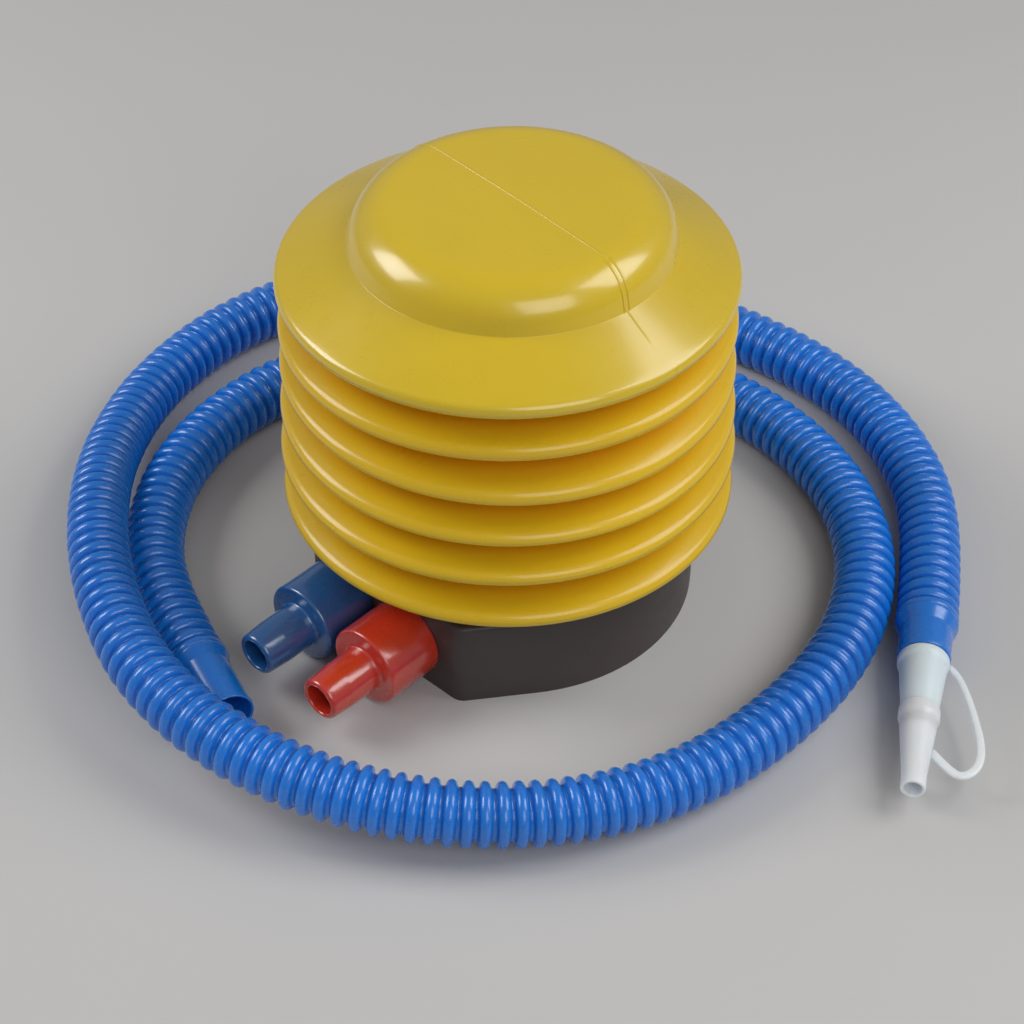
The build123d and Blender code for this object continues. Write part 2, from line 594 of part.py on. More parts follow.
with BuildPart() as nozzle_adapter:
    with BuildSketch(nozzle_plane) as adapter_section:
        with BuildLine():
            Polyline(
                (-ADAPTER_PLUG_LENGTH, ADAPTER_PLUG_RADIUS - ADAPTER_WALL),
                (-ADAPTER_PLUG_LENGTH, ADAPTER_PLUG_RADIUS),
                (0, ADAPTER_PLUG_RADIUS),
                (0, ADAPTER_RIM_RADIUS),
                (ADAPTER_RIM_LENGTH, ADAPTER_RIM_RADIUS),
                (ADAPTER_RIM_LENGTH, ADAPTER_BODY_RADIUS),
                (ADAPTER_NECK_END, ADAPTER_NECK_RADIUS),
                (ADAPTER_NECK_END, ADAPTER_SPIGOT_RADIUS),
                (ADAPTER_END, ADAPTER_END_RADIUS),
                (ADAPTER_END, ADAPTER_END_RADIUS - ADAPTER_WALL),
                (ADAPTER_NECK_END, ADAPTER_SPIGOT_RADIUS - ADAPTER_WALL),
                (0, ADAPTER_BODY_RADIUS - ADAPTER_WALL),
                close=True,
            )
        make_face()
        rim_edge = nearest(adapter_section.vertices(), ADAPTER_RIM_LENGTH, ADAPTER_RIM_RADIUS)
        fillet(rim_edge, ADAPTER_RIM_ROUND)
    revolve(axis=nozzle_axis)
nozzle_adapter.part.label = "nozzle_adapter"
export_step(nozzle_adapter.part, "parts/nozzle_adapter.step")

with BuildPart() as nozzle_tip:
    with BuildSketch(nozzle_plane) as tip_section:
        with BuildLine():
            Polyline(
                (TIP_START, TIP_SOCKET_RADIUS),
                (TIP_START, TIP_RIM_RADIUS),
                (TIP_START + TIP_RIM_LENGTH, TIP_RIM_RADIUS),
                (TIP_START + TIP_RIM_LENGTH + TIP_RIM_CHAMFER, TIP_SHOULDER_RADIUS),
                (TIP_END - TIP_STRAIGHT, TIP_MOUTH_RADIUS),
                (TIP_END, TIP_MOUTH_RADIUS),
                (TIP_END, TIP_MOUTH_BORE),
                (TIP_SOCKET_END, ADAPTER_END_RADIUS - ADAPTER_WALL),
                (TIP_SOCKET_END, ADAPTER_END_RADIUS + TIP_CLEARANCE),
                close=True,
            )
        make_face()
        fillet(nearest(tip_section.vertices(), TIP_END, TIP_MOUTH_RADIUS), TIP_ROUND)
        fillet(nearest(tip_section.vertices(), TIP_START, TIP_RIM_RADIUS), TIP_ROUND)
    revolve(axis=nozzle_axis)
nozzle_tip.part.label = "nozzle_tip"
export_step(nozzle_tip.part, "parts/nozzle_tip.step")

with BuildPart() as nozzle_tether:
    tether_radii = tangent_radii([(along, out, 0) for along, out in TETHER_ROUTE])
    with BuildLine(Plane(origin=nozzle_origin, x_dir=end_direction, z_dir=UP)) as tether_path:
        FilletPolyline(*TETHER_ROUTE, radius=tether_radii)
    with BuildSketch(Plane(origin=tether_path.line @ 0, x_dir=UP, z_dir=tether_path.line % 0)):
        Rectangle(TETHER_THICKNESS, TETHER_WIDTH)
    sweep(path=tether_path.line)
nozzle_tether.part.label = "nozzle_tether"
export_step(nozzle_tether.part, "parts/nozzle_tether.step")
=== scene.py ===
"""Looks of a foot air pump: yellow bellows on a dark base, two ports and a loose corrugated hose.

Sizes are millimetres where a name or comment doesn't say otherwise, and MM turns them into metres.
"""
import bisect
import math
import random

import bmesh
import bpy
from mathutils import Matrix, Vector


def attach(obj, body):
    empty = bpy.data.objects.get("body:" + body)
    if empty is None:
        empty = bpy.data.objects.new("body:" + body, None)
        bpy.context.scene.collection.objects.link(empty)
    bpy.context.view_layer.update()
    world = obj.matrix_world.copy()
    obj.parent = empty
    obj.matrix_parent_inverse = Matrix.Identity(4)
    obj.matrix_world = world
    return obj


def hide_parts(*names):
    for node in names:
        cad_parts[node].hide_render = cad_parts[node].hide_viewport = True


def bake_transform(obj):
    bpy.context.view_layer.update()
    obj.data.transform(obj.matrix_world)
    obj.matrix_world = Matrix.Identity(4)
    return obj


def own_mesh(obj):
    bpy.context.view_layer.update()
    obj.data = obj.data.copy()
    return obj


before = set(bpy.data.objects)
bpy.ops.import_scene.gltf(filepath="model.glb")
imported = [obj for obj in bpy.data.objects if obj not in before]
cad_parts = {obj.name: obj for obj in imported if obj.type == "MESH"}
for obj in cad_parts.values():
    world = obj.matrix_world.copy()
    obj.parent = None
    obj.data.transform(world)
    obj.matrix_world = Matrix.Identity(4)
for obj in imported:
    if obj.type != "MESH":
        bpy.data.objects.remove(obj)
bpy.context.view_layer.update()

MM = 0.001
UP = Vector((0, 0, 1))
scene = bpy.context.scene
random.seed(7)


# ---------------------------------------------------------------- camera
# its place and aim are in metres
CAMERA_PLACE = (0.3482, -0.3744, 0.4723)
CAMERA_AIM = (0.0008, 0.0008, 0.0206)
CAMERA_LENS = 80.86
CAMERA_SENSOR = 36.0
camera = bpy.data.objects.new("camera", bpy.data.cameras.new("camera"))
camera.data.lens = CAMERA_LENS
camera.data.sensor_width = CAMERA_SENSOR
camera.location = CAMERA_PLACE
camera.rotation_euler = (Vector(CAMERA_AIM) - camera.location).to_track_quat("-Z", "Y").to_euler()
scene.collection.objects.link(camera)
scene.camera = camera
scene.view_settings.view_transform = "Standard"

# level directions: across the view to the right, and towards the camera
RIGHT = Vector((0.7337, 0.6794, 0))
NEAR = Vector((0.6794, -0.7337, 0))


# ---------------------------------------------------------------- mesh helpers
# a path's direction is taken between the points this far behind and ahead
LOOK_AHEAD = 1.5


def mesh_object(name, verts, faces, material):
    """A smooth-shaded mesh object with its faces turned outwards."""
    mesh = bpy.data.meshes.new(name)
    mesh.from_pydata([tuple(v) for v in verts], [], faces)
    cleaner = bmesh.new()
    cleaner.from_mesh(mesh)
    bmesh.ops.recalc_face_normals(cleaner, faces=cleaner.faces)
    cleaner.to_mesh(mesh)
    cleaner.free()
    mesh.polygons.foreach_set("use_smooth", [True] * len(mesh.polygons))
    mesh.materials.append(material)
    made = bpy.data.objects.new(name, mesh)
    scene.collection.objects.link(made)
    return made


def bar(name, rings, material):
    """A closed bar through rings of points, with a flat face at each end."""
    size = len(rings[0])
    faces = []
    for first in range(0, (len(rings) - 1) * size, size):
        for k in range(size):
            n = (k + 1) % size
            faces.append([first + k, first + n, first + size + n, first + size + k])
    last = (len(rings) - 1) * size
    faces += [list(range(size)), list(range(last, last + size))]
    return mesh_object(name, [v for ring in rings for v in ring], faces, material)


def straight(origin, direction):
    """Frames along a straight axis: distance in mm -> (centre, side, up) in metres."""
    axis = Vector(direction).normalized()
    side = axis.orthogonal().normalized() if abs(axis.z) > 0.9 else axis.cross(UP).normalized()
    lift = side.cross(axis).normalized()
    start = Vector(origin) * MM
    return lambda along: (start + axis * along * MM, side, lift)


def turned(name, loop, frame_at, segments, material, shape=None):
    """Closed surface through the rings of a loop of (distance along, radius) points."""
    verts, rings = [], []
    turns = [2 * math.pi * k / segments for k in range(segments)]
    for along, radius in loop:
        centre, side, lift = frame_at(along)
        if radius < 1e-6:
            rings.append([len(verts)] * segments)
            verts.append(centre)
            continue
        rings.append(list(range(len(verts), len(verts) + segments)))
        for turn in turns:
            verts.append(centre + (side * math.cos(turn) + lift * math.sin(turn)) * radius * MM)
    if shape:
        verts = [shape(v) for v in verts]
    faces = []
    for ring, following in zip(rings, rings[1:] + rings[:1]):
        for k in range(segments):
            n = (k + 1) % segments
            corners = list(dict.fromkeys((ring[k], ring[n], following[n], following[k])))
            if len(corners) > 2:
                faces.append(corners)
    return mesh_object(name, verts, faces, material)


def rounded(corners, steps, closed=False):
    """A profile of (x, y, radius) corners, each turned into an arc; open ends stay as they are."""
    points = [Vector((x, y)) for x, y, _ in corners]
    count = len(points)
    out = []
    for i, corner in enumerate(points):
        radius = corners[i][2]
        if radius == 0 or (not closed and i in (0, count - 1)):
            out.append(corner)
            continue
        before = (points[i - 1] - corner).normalized()
        after = (points[(i + 1) % count] - corner).normalized()
        half = before.angle(after) / 2
        reach = radius / math.tan(half)
        centre = corner + (before + after).normalized() * (radius / math.sin(half))
        first, last = corner + before * reach, corner + after * reach
        arm = first - centre
        sweep = math.pi - 2 * half
        turn = 1 if arm.cross(last - centre) > 0 else -1
        for k in range(steps + 1):
            angle = turn * sweep * k / steps
            out.append(centre + Vector((arm.x * math.cos(angle) - arm.y * math.sin(angle),
                                        arm.x * math.sin(angle) + arm.y * math.cos(angle))))
    return out


def divided(points, longest):
    """The same profile with extra points, so that no run is longer than `longest`."""
    out = [points[0]]
    for a, b in zip(points, points[1:]):
        parts = max(1, math.ceil((b - a).length / longest))
        out += [a.lerp(b, k / parts) for k in range(1, parts + 1)]
    return out


def walled(line, wall):
    """Closed loop round a line of (x, y) points that is the middle of a wall."""
    near, far = [], []
    for i, point in enumerate(line):
        run = (line[min(i + 1, len(line) - 1)] - line[max(i - 1, 0)]).normalized()
        out = Vector((-run.y, run.x)) * wall / 2
        near.append(point + out)
        far.append(point - out)
    return near + far[::-1]


def along_path(points):
    """Frames along points in metres, as distance in mm -> (centre, side, up), and the length."""
    reached = [0.0]
    for a, b in zip(points, points[1:]):
        reached.append(reached[-1] + (b - a).length / MM)

    def at(along):
        spot = min(max(along, 0.0), reached[-1])
        i = min(max(bisect.bisect_right(reached, spot) - 1, 0), len(points) - 2)
        return points[i].lerp(points[i + 1], (spot - reached[i]) / (reached[i + 1] - reached[i]))

    def frame_at(along):
        run = (at(along + LOOK_AHEAD) - at(along - LOOK_AHEAD)).normalized()
        side = run.cross(UP).normalized()
        return at(along), side, side.cross(run)

    return frame_at, reached[-1]


def nurbs_points(name, route, resolution):
    """Points along a smooth NURBS spline whose control points are the route, in metres."""
    curve = bpy.data.curves.new(name, "CURVE")
    curve.dimensions = "3D"
    curve.resolution_u = resolution
    spline = curve.splines.new("NURBS")
    spline.points.add(len(route) - 1)
    for point, spot in zip(spline.points, route):
        point.co = (*spot, 1.0)
    spline.order_u = 3
    spline.use_endpoint_u = True
    carrier = bpy.data.objects.new(name, curve)
    line = bpy.data.meshes.new_from_object(carrier)
    points = [v.co.copy() for v in line.vertices]
    bpy.data.objects.remove(carrier)
    bpy.data.meshes.remove(line)
    bpy.data.curves.remove(curve)
    return points


# ---------------------------------------------------------------- materials
# most of a noise pattern lies between these values
NOISE_LOW, NOISE_HIGH = 0.3, 0.7
# the part of the line pattern that shows as rubbed marks, and their share in the relief
RUBBED_LOW, RUBBED_HIGH, RUBBED_SHARE = 0.60, 0.72, -0.6
# how far the gloss wanders to either side of a material's roughness
GLOSSIER, DULLER = 0.04, 0.06
# the share of the mottled pattern in the relief, and the relief's height in metres
MOTTLED_SHARE = 1.5
RELIEF = 0.0004


def node_material(name):
    """An empty material with its node tree, shader, and texture coordinates in metres."""
    material = bpy.data.materials.new(name)
    material.use_nodes = True
    nodes, links = material.node_tree.nodes, material.node_tree.links
    shader = nodes["Principled BSDF"]
    coords = nodes.new("ShaderNodeTexCoord").outputs["Object"]
    return material, nodes, links, shader, coords


def noise(nodes, links, coords, scale, detail=3.0, rough=0.55, stretch=None):
    """A noise pattern in object space; stretch scales the coordinates along each axis first."""
    if stretch:
        mapping = nodes.new("ShaderNodeMapping")
        mapping.inputs["Scale"].default_value = stretch
        links.new(coords, mapping.inputs["Vector"])
        coords = mapping.outputs["Vector"]
    pattern = nodes.new("ShaderNodeTexNoise")
    pattern.inputs["Scale"].default_value = scale
    pattern.inputs["Detail"].default_value = detail
    pattern.inputs["Roughness"].default_value = rough
    links.new(coords, pattern.inputs["Vector"])
    return pattern.outputs["Fac"]


def ranged(nodes, links, value, low, high, out_low, out_high):
    """A value mapped from one range to another."""
    node = nodes.new("ShaderNodeMapRange")
    for socket, number in (("From Min", low), ("From Max", high),
                           ("To Min", out_low), ("To Max", out_high)):
        node.inputs[socket].default_value = number
    links.new(value, node.inputs["Value"])
    return node.outputs["Result"]


def summed(nodes, links, a, b, share):
    """a plus share times b."""
    node = nodes.new("ShaderNodeMath")
    node.operation = "MULTIPLY_ADD"
    node.inputs[1].default_value = share
    links.new(b, node.inputs[0])
    links.new(a, node.inputs[2])
    return node.outputs["Value"]


def moulded(name, color, rough, drift=0.06, patch=14.0, grain=1500.0, depth=0.03, wear=0.0,
            wear_stretch=(260.0, 9.0, 40.0), **fixed):
    """Plastic, rubber or metal with colour drift, mottled gloss, fine grain and rubbed lines."""
    material, nodes, links, shader, coords = node_material(name)
    slow = noise(nodes, links, coords, patch, detail=4.0)
    mix = nodes.new("ShaderNodeMix")
    mix.data_type = "RGBA"
    mix.inputs["A"].default_value = (*[c * (1 - drift) for c in color], 1)
    mix.inputs["B"].default_value = (*[min(1.0, c * (1 + drift)) for c in color], 1)
    links.new(ranged(nodes, links, slow, NOISE_LOW, NOISE_HIGH, 0.0, 1.0), mix.inputs["Factor"])
    links.new(mix.outputs["Result"], shader.inputs["Base Color"])
    mottled = noise(nodes, links, coords, patch * 9, detail=5.0, rough=0.65)
    gloss = ranged(nodes, links, mottled, NOISE_LOW, NOISE_HIGH, rough - GLOSSIER, rough + DULLER)
    fine = noise(nodes, links, coords, grain, detail=2.0)
    height = summed(nodes, links, fine, mottled, MOTTLED_SHARE)
    if wear:
        lines = noise(nodes, links, coords, 1.0, detail=6.0, rough=0.7, stretch=wear_stretch)
        rubbed = ranged(nodes, links, lines, RUBBED_LOW, RUBBED_HIGH, 0.0, 1.0)
        gloss = summed(nodes, links, gloss, rubbed, wear)
        height = summed(nodes, links, height, rubbed, RUBBED_SHARE)
    links.new(gloss, shader.inputs["Roughness"])
    bump = nodes.new("ShaderNodeBump")
    bump.inputs["Strength"].default_value = depth
    bump.inputs["Distance"].default_value = RELIEF
    links.new(height, bump.inputs["Height"])
    links.new(bump.outputs["Normal"], shader.inputs["Normal"])
    for socket, value in fixed.items():
        shader.inputs[socket.replace("_", " ")].default_value = value
    return material


def paint_shade_by_radius(material, inner, outer, inner_radius, outer_radius):
    """Multiply a round piece's base colour by a painted shade that changes with distance from the z
    axis.
    """
    nodes, links = material.node_tree.nodes, material.node_tree.links
    shader = nodes["Principled BSDF"]
    coords = nodes.new("ShaderNodeTexCoord").outputs["Object"]
    flat = nodes.new("ShaderNodeVectorMath")
    flat.operation = "MULTIPLY"
    flat.inputs[1].default_value = (1, 1, 0)
    links.new(coords, flat.inputs[0])
    reach = nodes.new("ShaderNodeVectorMath")
    reach.operation = "LENGTH"
    links.new(flat.outputs["Vector"], reach.inputs[0])
    share = ranged(nodes, links, reach.outputs["Value"], inner_radius * MM, outer_radius * MM,
                   0.0, 1.0)
    tint = nodes.new("ShaderNodeMix")
    tint.data_type = "RGBA"
    tint.inputs["A"].default_value = (*inner, 1)
    tint.inputs["B"].default_value = (*outer, 1)
    links.new(share, tint.inputs["Factor"])
    product = nodes.new("ShaderNodeMix")
    product.data_type = "RGBA"
    product.blend_type = "MULTIPLY"
    product.inputs["Factor"].default_value = 1.0
    links.new(shader.inputs["Base Color"].links[0].from_socket, product.inputs["A"])
    links.new(tint.outputs["Result"], product.inputs["B"])
    links.new(product.outputs["Result"], shader.inputs["Base Color"])


yellow_plastic = moulded(
    "yellow_plastic", (0.68, 0.475, 0.010), 0.29, drift=0.05, wear=0.10, depth=0.05,
    Specular_IOR_Level=0.5, Coat_Weight=0.8, Coat_Roughness=0.16, Coat_IOR=1.55)
fold_plastic = moulded(
    "fold_plastic", (0.74, 0.475, 0.010), 0.29, drift=0.05, wear=0.10, depth=0.05,
    Specular_IOR_Level=0.4, Coat_Weight=0.4, Coat_Roughness=0.16)
base_plastic = moulded(
    "base_plastic", (0.052, 0.040, 0.036), 0.44, drift=0.14, grain=2600.0, depth=0.10, wear=0.12)
blue_plastic = moulded(
    "blue_plastic", (0.012, 0.095, 0.290), 0.26, drift=0.08, wear=0.08,
    Coat_Weight=1.0, Coat_Roughness=0.16, Coat_IOR=1.65)
red_plastic = moulded(
    "red_plastic", (0.58, 0.034, 0.014), 0.26, drift=0.08, wear=0.08,
    Coat_Weight=1.0, Coat_Roughness=0.16, Coat_IOR=1.65)
hose_plastic = moulded(
    "hose_plastic", (0.008, 0.180, 0.660), 0.27, drift=0.10, patch=22.0,
    Subsurface_Weight=0.25, Subsurface_Radius=(0.15, 0.5, 1.0), Subsurface_Scale=0.002,
    Coat_Weight=0.6, Coat_Roughness=0.16)
milky_plastic = moulded(
    "milky_plastic", (0.845, 0.91, 0.995), 0.34, drift=0.02, patch=60.0, grain=400.0, depth=0.01,
    Transmission_Weight=0.08, IOR=1.45, Subsurface_Weight=0.7,
    Subsurface_Radius=(0.8, 0.9, 1.0), Subsurface_Scale=0.003)
clear_plastic = moulded(
    "clear_plastic", (0.74, 0.87, 0.995), 0.32, drift=0.02, patch=60.0, grain=400.0, depth=0.01,
    Transmission_Weight=0.08, IOR=1.45, Subsurface_Weight=0.7,
    Subsurface_Radius=(0.7, 0.85, 1.0), Subsurface_Scale=0.003)
# painted shade: the folds' base colour is darkened and turned orange towards their valleys,
# standing in for the shade deep inside the folds
paint_shade_by_radius(fold_plastic, (0.95, 0.50, 0.22), (1.0, 1.0, 1.0), 50.5, 61.0)
black_rubber = moulded(
    "black_rubber", (0.018, 0.018, 0.019), 0.62, drift=0.15, grain=3200.0, depth=0.16)
plated_steel = moulded(
    "plated_steel", (0.50, 0.50, 0.52), 0.30, drift=0.08, patch=120.0, grain=4200.0, depth=0.05,
    wear=0.10, Metallic=1.0)


# ---------------------------------------------------------------- hose
# the route's control points, in metres
HOSE_ROUTE = [
    (-0.0285, -0.098, 0.0093), (-0.0595, -0.087, 0.0093), (-0.0835, -0.068, 0.0093),
    (-0.1005, -0.0415, 0.0093), (-0.1075, -0.008, 0.0093), (-0.1, 0.0285, 0.0093),
    (-0.08, 0.0595, 0.0093), (-0.0505, 0.084, 0.0093), (-0.0145, 0.097, 0.0093),
    (0.024, 0.099, 0.0093), (0.06, 0.0875, 0.0093), (0.087, 0.064, 0.0093),
    (0.1025, 0.0315, 0.0093), (0.106, -0.0065, 0.0093), (0.0995, -0.044, 0.0093),
    (0.0795, -0.078, 0.011), (0.0505, -0.1035, 0.0145), (0.0145, -0.1185, 0.0185),
    (-0.025, -0.1195, 0.0218), (-0.0605, -0.1045, 0.0224), (-0.0905, -0.0825, 0.0214),
    (-0.117, -0.0545, 0.0146), (-0.1365, -0.02, 0.0093), (-0.1415, 0.0175, 0.0093),
    (-0.1315, 0.0535, 0.0093), (-0.1085, 0.0845, 0.0093), (-0.077, 0.108, 0.0093),
    (-0.0385, 0.123, 0.0093), (0.001, 0.13, 0.0093), (0.039, 0.126, 0.0093),
    (0.0725, 0.109, 0.0093), (0.095, 0.0845, 0.0093), (0.113, 0.0555, 0.0093),
]
HOSE_RESOLUTION = 24
HOSE_SEGMENTS = 44
HOSE_CREST = 9.1
HOSE_VALLEY = 7.1
HOSE_BORE = 6.2
BORE_RINGS = 300
RIB_PITCH = 4.65
RIB_HALF_WIDTH = 1.72
# no two ribs are quite alike: how far one is off its place, and how much lower it can be
RIB_WANDER = 0.10
# across one rib, from its middle: offset as a share of the half width, height as a share of the rib
RIB_SHAPE = [
    (-1.12, 0.03), (-1.0, 0.12), (-0.93, 0.34), (-0.80, 0.62), (-0.60, 0.82), (-0.32, 0.955),
    (0.0, 1.0),
    (0.32, 0.955), (0.60, 0.82), (0.80, 0.62), (0.93, 0.34), (1.0, 0.12), (1.12, 0.03),
]
# the valley between two ribs dips this much below their feet
VALLEY_DIP = 0.02
# the plain end that sits in a cuff: its length, and its outline as (distance, drop from the crest)
PLAIN_END = 2.6
PLAIN_SHAPE = [(0.0, 0.3), (0.6, 0.0), (PLAIN_END - 0.5, 0.0), (PLAIN_END - 0.1, 0.6)]

hose_points = nurbs_points("hose_line", HOSE_ROUTE, HOSE_RESOLUTION)
hose_frame, hose_run = along_path(hose_points)
rib_count = round((hose_run - 2 * PLAIN_END) / RIB_PITCH)
pitch = (hose_run - 2 * PLAIN_END) / rib_count
hose_outside = [(along, HOSE_CREST - drop) for along, drop in PLAIN_SHAPE]
for rib in range(rib_count):
    middle = PLAIN_END + (rib + 0.5) * pitch + random.uniform(-RIB_WANDER, RIB_WANDER)
    rise = HOSE_CREST - HOSE_VALLEY + random.uniform(-RIB_WANDER, 0.0)
    for offset, share in RIB_SHAPE:
        hose_outside.append((middle + offset * RIB_HALF_WIDTH, HOSE_VALLEY + rise * share))
    if rib < rib_count - 1:
        hose_outside.append((PLAIN_END + (rib + 1) * pitch, HOSE_VALLEY - VALLEY_DIP))
hose_outside += [(hose_run - along, HOSE_CREST - drop) for along, drop in reversed(PLAIN_SHAPE)]
hose_inside = [(hose_run * k / BORE_RINGS, HOSE_BORE) for k in range(BORE_RINGS, -1, -1)]
hose = turned("hose", hose_outside + hose_inside, hose_frame, HOSE_SEGMENTS, hose_plastic)

OPEN_CUFF_LENGTH = 22.5
HELD_CUFF_LENGTH = 14.9
CUFF_SEGMENTS = 64
start_direction = (Vector(HOSE_ROUTE[0]) - Vector(HOSE_ROUTE[1])).normalized()
end_direction = (Vector(HOSE_ROUTE[-1]) - Vector(HOSE_ROUTE[-2])).normalized()
for cuff_name, place, direction, cuff_length in (
        ("hose_cuff_open", HOSE_ROUTE[0], start_direction, OPEN_CUFF_LENGTH),
        ("hose_cuff_held", HOSE_ROUTE[-1], end_direction, HELD_CUFF_LENGTH)):
    # outline: distance from the hose, radius, rounding; a collar, a waist and a lip at the mouth
    cuff_loop = rounded(
        [(0.0, 6.8, 0.1), (0.0, 9.1, 0.25), (1.0, 9.1, 0.8), (4.2, 7.75, 1.5),
         (cuff_length - 1.6, 7.45, 0.5), (cuff_length - 1.2, 7.65, 0.5), (cuff_length, 7.55, 0.4),
         (cuff_length, 6.8, 0.4)],
        steps=5, closed=True)
    cuff_frame = straight(Vector(place) / MM, direction)
    cuff = turned(cuff_name, cuff_loop, cuff_frame, CUFF_SEGMENTS, hose_plastic)
    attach(cuff, "pump")
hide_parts("hose_cuff_pump_end")
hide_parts("hose_cuff_nozzle_end")

# ---------------------------------------------------------------- nozzle
NOZZLE_SEGMENTS = 72
NOZZLE_ARC_STEPS = 6
# outlines, from the cuff's mouth: distance along, radius, rounding
# the adapter: a plug inside the cuff, a rim, a taper and a thin end that carries the tip
ADAPTER_OUTLINE = [
    (-12.0, 5.55, 0.3), (-12.0, 6.75, 0.4), (0.0, 6.75, 0.2), (0.0, 7.4, 0.8), (2.6, 7.4, 0.9),
    (3.9, 6.75, 1.2), (19.7, 5.3, 0.2), (19.7, 4.9, 0.2), (27.2, 4.5, 0.4), (27.2, 3.3, 0.3),
    (19.7, 3.7, 0.5), (0.0, 5.8, 0.5),
]
# the tip: a rim, a long taper and a straight mouth, with a socket for the adapter's end
TIP_OUTLINE = [
    (19.9, 5.02, 0.3), (19.9, 5.8, 0.6), (23.4, 5.8, 1.0), (24.9, 5.3, 1.5), (44.3, 3.45, 6.0),
    (49.5, 3.45, 0.48), (49.5, 2.45, 0.48), (44.0, 2.5, 0.5), (27.7, 3.3, 0.3), (27.7, 4.55, 0.2),
]

nozzle_origin = Vector(HOSE_ROUTE[-1]) / MM + end_direction * HELD_CUFF_LENGTH
nozzle_frame = straight(nozzle_origin, end_direction)
adapter_loop = rounded(ADAPTER_OUTLINE, NOZZLE_ARC_STEPS, closed=True)
adapter = turned("nozzle_body", adapter_loop, nozzle_frame, NOZZLE_SEGMENTS, clear_plastic)
tip_loop = rounded(TIP_OUTLINE, NOZZLE_ARC_STEPS, closed=True)
tip = turned("nozzle_end", tip_loop, nozzle_frame, NOZZLE_SEGMENTS, milky_plastic)
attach(adapter, "adapter")
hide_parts("nozzle_adapter")
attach(tip, "tip")
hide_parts("nozzle_tip")

# the strap's route from the adapter's rim to the tip: along the nozzle, then out to its side
STRAP_ROUTE = [
    (1.4, 7.2), (4.0, 9.6), (10.0, 12.2), (20.0, 15.2), (31.0, 17.6), (38.5, 17.0), (42.8, 13.2),
    (41.2, 9.2), (35.0, 4.0),
]
STRAP_RESOLUTION = 16
STRAP_STEPS = 120
STRAP_WIDTH = 2.0
STRAP_THICKNESS = 1.4
STRAP_EDGE = 0.55
# the strap widens from the rim to the tip, as a share of its width
STRAP_SHARE_START = 0.9
STRAP_SHARE_END = 1.3

out_direction = UP.cross(end_direction)
strap_route = [(nozzle_origin + end_direction * along + out_direction * out) * MM
               for along, out in STRAP_ROUTE]
strap_points = nurbs_points("strap_line", strap_route, STRAP_RESOLUTION)
strap_frame, strap_run = along_path(strap_points)
half_w, half_t = STRAP_WIDTH / 2, STRAP_THICKNESS / 2
section = rounded(
    [(x, y, STRAP_EDGE)
     for x, y in ((-half_w, -half_t), (half_w, -half_t), (half_w, half_t), (-half_w, half_t))],
    steps=4, closed=True)
strap_rings = []
for step in range(STRAP_STEPS + 1):
    centre, side, lift = strap_frame(strap_run * step / STRAP_STEPS)
    wide = STRAP_SHARE_START + (STRAP_SHARE_END - STRAP_SHARE_START) * step / STRAP_STEPS
    strap_rings.append([centre + (side * s.x * wide + lift * s.y) * MM for s in section])
strap = bar("nozzle_strap", strap_rings, milky_plastic)
# it stretches between its two feet, 4 mm and 38 mm along the nozzle
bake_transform(strap)
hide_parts("nozzle_tether")

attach(hose, "pump")
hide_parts("hose_tube")

# ---------------------------------------------------------------- bellows
# heights are from the floor; the pad slopes down to the top rim, and the folds hang below it
WALL = 1.4
RIM_RADIUS = 63.5
VALLEY_RADIUS = 50.5
TOP_RIM_Z = 108.9
FOLD_PITCH = 14.19
FOLD_COUNT = 5
CREST_ROUND = 1.9
VALLEY_ROUND = 1.6
DECK_TOP = 24.0
FLANGE_INNER = 43.0
NECK_MIDDLE = 48.8
NECK_ROUND = 1.0
SPLIT_RADIUS = 58.5
PAD_SLOPE = math.radians(25.5)
DOME_FOOT_RADIUS = 44.4
FOOT_ROUND = 0.9
DOME_TOP = 131.8
DOME_WALL = math.radians(74.0)
DOME_SHOULDER = 11.0
DOME_CROWN = 0.6
# the dome sits a little to the side of the rim: how far at its foot and at its top
DOME_SHIFT_FOOT = 1.2
DOME_SHIFT_TOP = 2.0
# the shift starts this far above the top rim
SHIFT_START = 2.0
BELLOWS_SEGMENTS = 224

# in the middle of the wall: where the arcs of crests and valleys are centred, how steep the flanks
# between them are, and the corners in which the flanks would meet
crest_centre = RIM_RADIUS - WALL / 2 - CREST_ROUND
valley_centre = VALLEY_RADIUS - WALL / 2 + VALLEY_ROUND
flank = math.atan2(FOLD_PITCH / 2, crest_centre - valley_centre) - math.asin(
    (CREST_ROUND + VALLEY_ROUND) / math.hypot(crest_centre - valley_centre, FOLD_PITCH / 2))
crest_corner = crest_centre + CREST_ROUND / math.sin(flank)
valley_corner = valley_centre - VALLEY_ROUND / math.sin(flank)
neck_top = TOP_RIM_Z - FOLD_COUNT * FOLD_PITCH - (crest_corner - NECK_MIDDLE) * math.tan(flank)
split_z = TOP_RIM_Z - FOLD_PITCH / 2 + (SPLIT_RADIUS - valley_corner) * math.tan(flank)

# how each rim leans, from the top one down to the neck: lift, to the front, to the side, wider by
RIM_LEAN = [
    (0.0, 0.0, 0.0, 0.0), (-0.45, 0.95, 0.55, -0.1), (0.45, -0.85, -0.95, 0.2),
    (0.35, -0.35, -0.65, 0.85), (0.5, 0.4, 0.2, 1.6), (-0.2, -0.5, -0.1, 1.6),
    (0.0, 0.0, 0.0, 0.0),
]
FRONT_AZIMUTH = math.radians(313.0)
# the lean starts this far below the split and is full after this much more
LEAN_START = 1.5
LEAN_FADE = 4.0


